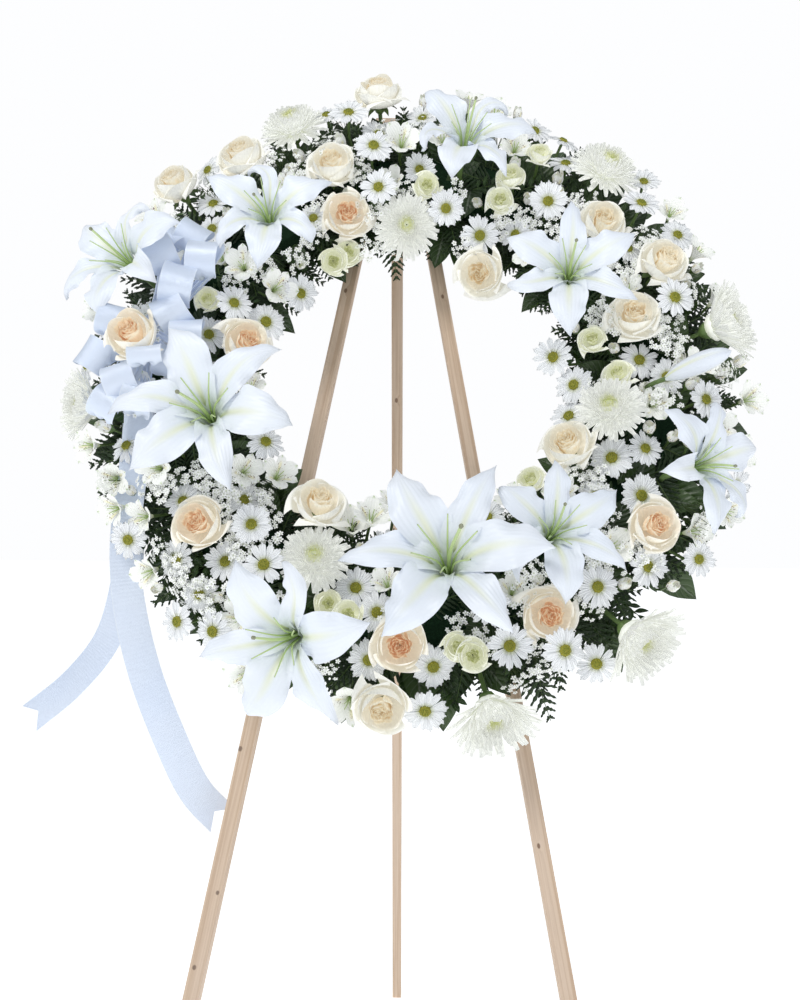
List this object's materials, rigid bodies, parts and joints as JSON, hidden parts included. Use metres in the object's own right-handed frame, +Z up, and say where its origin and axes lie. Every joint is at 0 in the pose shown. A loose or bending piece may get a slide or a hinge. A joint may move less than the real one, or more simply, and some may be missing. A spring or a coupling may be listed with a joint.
{
  "type": "standing funeral wreath",
  "caption": "Open ring of white lilies, cream roses, mums and daisies with a satin bow, wired to a folding wooden easel.",
  "frame": {"origin": "middle of the box on the floor, between the easel's feet", "axes": "+Z up, the flowers face -Y, +X to the right seen from the front"},
  "size_m": [0.8438, 0.9344, 1.4783],
  "materials": {
    "lily_petal": "soft white petals",
    "mum_petal": "soft greenish white petals",
    "rose_petal": "cream petals",
    "small_bloom": "soft white petals",
    "leaf": "satin green leaves",
    "pine": "plain planed pine",
    "tie_wire": "bare wire",
    "floral_foam": "matte wet foam",
    "tray_plastic": "moulded plastic",
    "bolt_steel": "zinc plated",
    "ribbon_satin": "satin"
  },
  "bodies": {
    "stand_and_wreath": {"foam_ring": "floral_foam", "foam_tray": "tray_plastic", "greens_bottom": "leaf", "greens_inner_bottom": "leaf", "greens_inner_top": "leaf", "greens_left": "leaf", "greens_right": "leaf", "greens_top": "leaf", "head_cleat": "pine", "hinge_bolt": "bolt_steel", "leg_front_left": "pine", "leg_front_right": "pine", "lily_bottom": "lily_petal", "lily_bottom_left": "lily_petal", "lily_left": "lily_petal", "lily_left_top": "lily_petal", "lily_right": "lily_petal", "lily_right_bottom": "lily_petal", "lily_right_top": "lily_petal", "lily_top": "lily_petal", "lily_upper_left": "lily_petal", "mum_bottom": "mum_petal", "mum_bottom_right": "mum_petal", "mum_inner_left": "mum_petal", "mum_inner_right": "mum_petal", "mum_inner_top": "mum_petal", "mum_left": "mum_petal", "mum_right": "mum_petal", "mum_right_top": "mum_petal", "mum_top": "mum_petal", "ribbon_bow": "ribbon_satin", "rose_bottom_right": "rose_petal", "rose_in_bow": "rose_petal", "rose_inner_left": "rose_petal", "rose_inner_right": "rose_petal", "rose_inner_top": "rose_petal", "rose_lower_right": "rose_petal", "roses_bottom": "rose_petal", "roses_lower_left": "rose_petal", "roses_right_top": "rose_petal", "roses_top": "rose_petal", "roses_upper_left": "rose_petal", "spray_bottom": "small_bloom", "spray_bottom_left": "small_bloom", "spray_bottom_right": "small_bloom", "spray_inner_left": "small_bloom", "spray_inner_left_top": "small_bloom", "spray_inner_right": "small_bloom", "spray_inner_top": "small_bloom", "spray_left": "small_bloom", "spray_lower_left": "small_bloom", "spray_lower_right": "small_bloom", "spray_right": "small_bloom", "spray_right_top": "small_bloom", "spray_top": "small_bloom", "spray_upper_left": "small_bloom", "wire_tie_left": "tie_wire", "wire_tie_right": "tie_wire", "wire_tie_top": "tie_wire"},
    "rear_leg": {"leg_rear": "pine"}
  },
  "joints": [
    {"name": "rear_leg_fold", "type": "hinge", "parent": "stand_and_wreath", "child": "rear_leg", "pos_m": [-0.00513, -0.03319, 1.44278], "axis": [-1, 0, 0], "range_deg": [0, 35]}
  ]
}
